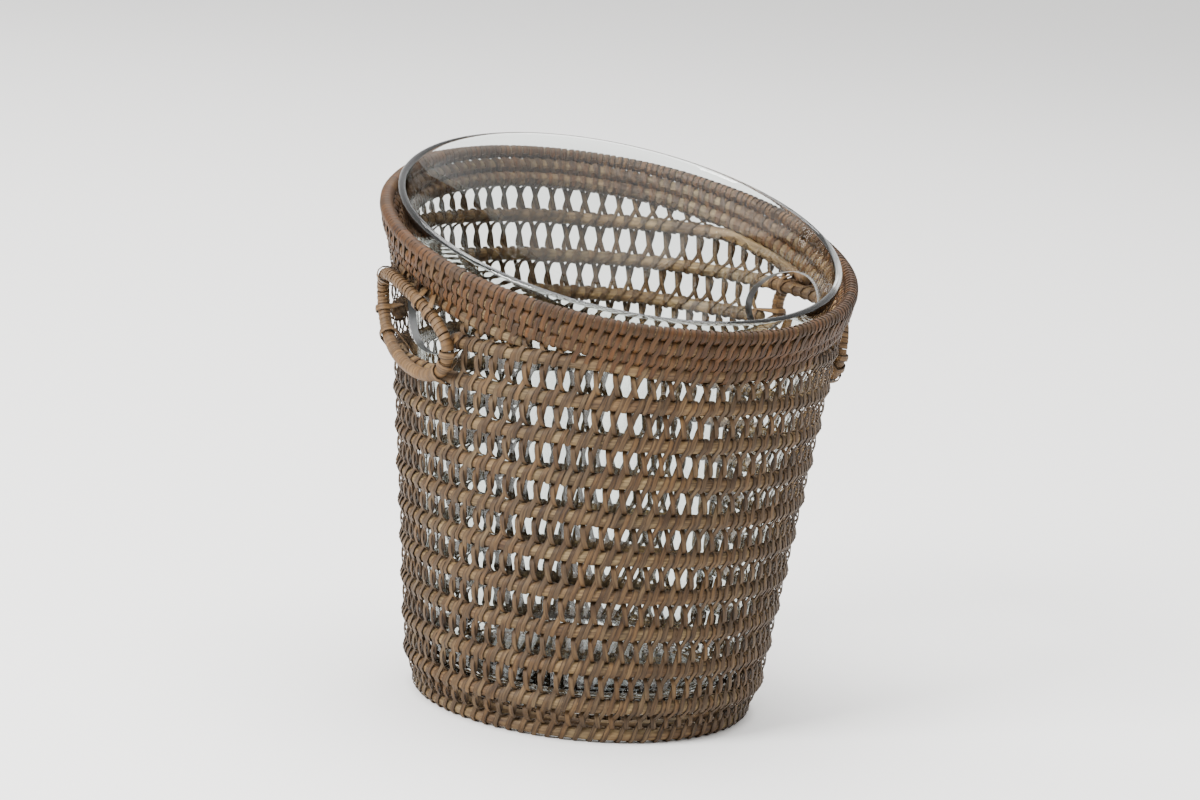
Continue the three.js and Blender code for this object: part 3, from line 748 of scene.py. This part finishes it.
def lip_height(phi):
    return rim_height(phi) + (PROUD_FRONT + PROUD_BACK) / 2 + (PROUD_BACK - PROUD_FRONT) / 2 * math.sin(phi)


def glass_cup():
    """The section of the cup on one side, spun round, then its lip laid on the slant."""
    bm = bmesh.new()
    half = GLASS_WALL / 2
    top = 250.0
    floor_top = GLASS_BOTTOM + GLASS_FLOOR
    start = HEEL_TOP + 12
    outside = [(0, GLASS_BOTTOM), (HEEL_RADIUS - 5, GLASS_BOTTOM), (HEEL_RADIUS - 1.4, GLASS_BOTTOM + 1.2)]
    outside += [(HEEL_RADIUS + 0.3, GLASS_BOTTOM + 4), (glass_radius(HEEL_TOP), HEEL_TOP)]
    inside = [(glass_radius(HEEL_TOP + 6) - GLASS_WALL, HEEL_TOP + 6), (HEEL_RADIUS - 1.6, floor_top + 3.5)]
    inside += [(HEEL_RADIUS - 5, floor_top + 0.6), (HEEL_RADIUS - 12, floor_top), (0, floor_top)]
    levels = [start + (top - start) * n / 24 for n in range(25)]
    profile = outside + [(glass_radius(z), z) for z in levels]
    for n in range(1, 8):
        angle = math.pi * n / 8
        profile.append((glass_radius(top) - half + half * math.cos(angle), top + half * math.sin(angle)))
    profile += [(glass_radius(z) - GLASS_WALL, z) for z in reversed(levels)] + inside
    verts = [bm.verts.new((r, 0, z)) for r, z in profile]
    edges = [bm.edges.new(pair) for pair in zip(verts, verts[1:])]
    bmesh.ops.spin(bm, geom=verts + edges, axis=(0, 0, 1), angle=TURN, steps=144, use_merge=True)
    bmesh.ops.remove_doubles(bm, verts=bm.verts, dist=0.001)
    for v in bm.verts:
        if v.co.z > start:
            phi = math.atan2(v.co.y, v.co.x)
            shoulder = lip_height(phi) - half
            share = min(1.0, (v.co.z - start) / (top - start))
            z = start + share * (shoulder - start) + max(0.0, v.co.z - top)
            flare = max(0.0, (min(z, shoulder) - slant_height(phi)) / (shoulder - slant_height(phi)))
            radius = math.hypot(v.co.x, v.co.y) + WALL_FLARE * (z - v.co.z) + GLASS_FLARE * flare ** 1.5
            v.co = (radius * math.cos(phi), radius * math.sin(phi), z)
    bmesh.ops.recalc_face_normals(bm, faces=bm.faces)
    return bm


def loose_object(name, bm):
    mesh = bpy.data.meshes.new(name)
    bm.to_mesh(mesh)
    bm.free()
    made = bpy.data.objects.new(name, mesh)
    bpy.context.scene.collection.objects.link(made)
    return made


def hole_cutter(side):
    """An oval bar through the wall, to cut the hand hole."""
    bm = bmesh.new()
    bmesh.ops.create_cone(bm, cap_ends=True, segments=72, radius1=1, radius2=1, depth=CUTTER_LENGTH)
    bmesh.ops.scale(bm, vec=(HOLE_HALF_HEIGHT, HOLE_HALF_WIDTH, 1), verts=bm.verts)
    bmesh.ops.rotate(bm, matrix=Matrix.Rotation(math.pi / 2, 3, "Y"), verts=bm.verts)
    bmesh.ops.translate(bm, vec=(CUTTER_OUT * side, 0, HOLE_HEIGHT), verts=bm.verts)
    return loose_object("cutter", bm)


def glass_material(name, scale, smoothest, roughest):
    """Soda glass, faintly grey. How its surface was worked gives its gloss slow waves or a fine grain."""
    material = bpy.data.materials.new(name)
    material.use_nodes = True
    shader = material.node_tree.nodes["Principled BSDF"]
    shader.inputs["Base Color"].default_value = linear("#e2e6e4")
    shader.inputs["Transmission Weight"].default_value = 1.0
    shader.inputs["IOR"].default_value = 1.47
    shader.inputs["Specular IOR Level"].default_value = 0.3
    place = add_node(material, "ShaderNodeTexCoord").outputs["Object"]
    waves = add_node(material, "ShaderNodeTexNoise", {"Vector": place, "Scale": scale, "Detail": 2.0})
    limits = {"To Min": smoothest, "To Max": roughest}
    gloss = add_node(material, "ShaderNodeMapRange", {"Value": waves.outputs["Fac"], **limits})
    material.node_tree.links.new(gloss.outputs["Result"], shader.inputs["Roughness"])
    return material


# Blown glass almost vanishes but for thin lines of light at lip and heel; a ground edge is a frosted band
clear_glass = glass_material("clear_blown_glass", 14.0, 0.0, 0.012)
ground_glass = glass_material("ground_glass_edge", 900.0, 0.25, 0.45)

cup = loose_object("cup", glass_cup())
cutters = [hole_cutter(side) for side in (1, -1)]
for cutter in cutters:
    cut = cup.modifiers.new("hand_hole", "BOOLEAN")
    cut.object = cutter
    cut.solver = "EXACT"
bpy.context.view_layer.update()
whole = cup.evaluated_get(bpy.context.evaluated_depsgraph_get())
bm = bmesh.new()
bm.from_mesh(whole.to_mesh())
for edge in bm.edges:
    edge.smooth = edge.calc_face_angle(0.0) < math.radians(40)
for face in bm.faces:
    middle = face.calc_center_median()
    across, up = middle.y / HOLE_HALF_WIDTH, (middle.z - HOLE_HEIGHT) / HOLE_HALF_HEIGHT
    face.material_index = int(abs(math.hypot(across, up) - 1) < 0.01 and abs(face.normal.x) < 0.5)
for spare in cutters + [cup]:
    bpy.data.objects.remove(spare)
liner = make_piece("glass_liner_cup", bm, clear_glass, ["glass_liner"], "liner")
liner.data.materials.append(ground_glass)
liner.visible_shadow = False  # clear glass lets the light through to the basket


# Floor, light and camera
# A pale painted floor under a white sky, a small lamp at the left that gives the form and a large one
# above that softens the shadows. The camera stands as it did for the photograph.

# Matt paint gives an even pale ground with a soft shadow and no reflection
floor_paint = bpy.data.materials.new("matt_floor_paint")
floor_paint.use_nodes = True
shader = floor_paint.node_tree.nodes["Principled BSDF"]
shader.inputs["Base Color"].default_value = linear("#f2f1ef")
shader.inputs["Roughness"].default_value = 0.9
bm = bmesh.new()
bmesh.ops.create_grid(bm, x_segments=1, y_segments=1, size=8)
floor = loose_object("floor", bm)
floor.data.materials.append(floor_paint)

sky = bpy.data.worlds.new("studio")
sky.use_nodes = True
sky.node_tree.nodes["Background"].inputs["Color"].default_value = linear("#ffffff")
sky.node_tree.nodes["Background"].inputs["Strength"].default_value = 1.3
bpy.context.scene.world = sky


def soft_box(name, place, size, power):
    lamp = bpy.data.lights.new(name, "AREA")
    lamp.size = size
    lamp.energy = power
    holder = bpy.data.objects.new(name, lamp)
    holder.location = place
    middle = Vector((0, 0, 0.13))  # of the bucket
    holder.rotation_euler = (middle - Vector(place)).to_track_quat("-Z", "Y").to_euler()
    holder.visible_transmission = False  # so that the light that the liner lets through counts once
    bpy.context.scene.collection.objects.link(holder)


soft_box("key", (-2.1, -0.6, 1.6), 0.9, 125)
soft_box("top", (0.0, 0.6, 3.6), 4.0, 270)

target = Vector((-0.00365, -0.0015, 0.1599))
azimuth, elevation, roll = math.radians(-27), math.radians(10.68), math.radians(5.35)
distance = 1.730
away = Vector((
    math.sin(azimuth) * math.cos(elevation),
    -math.cos(azimuth) * math.cos(elevation),
    math.sin(elevation),
))
lens = bpy.data.cameras.new("view")
lens.lens = 99.0
lens.sensor_width = 36.0
camera = bpy.data.objects.new("view", lens)
camera.matrix_world = (
    Matrix.Translation(target + away * distance)
    @ (-away).to_track_quat("-Z", "Y").to_matrix().to_4x4()
    @ Matrix.Rotation(roll, 4, "Z")
)
bpy.context.scene.collection.objects.link(camera)
bpy.context.scene.camera = camera
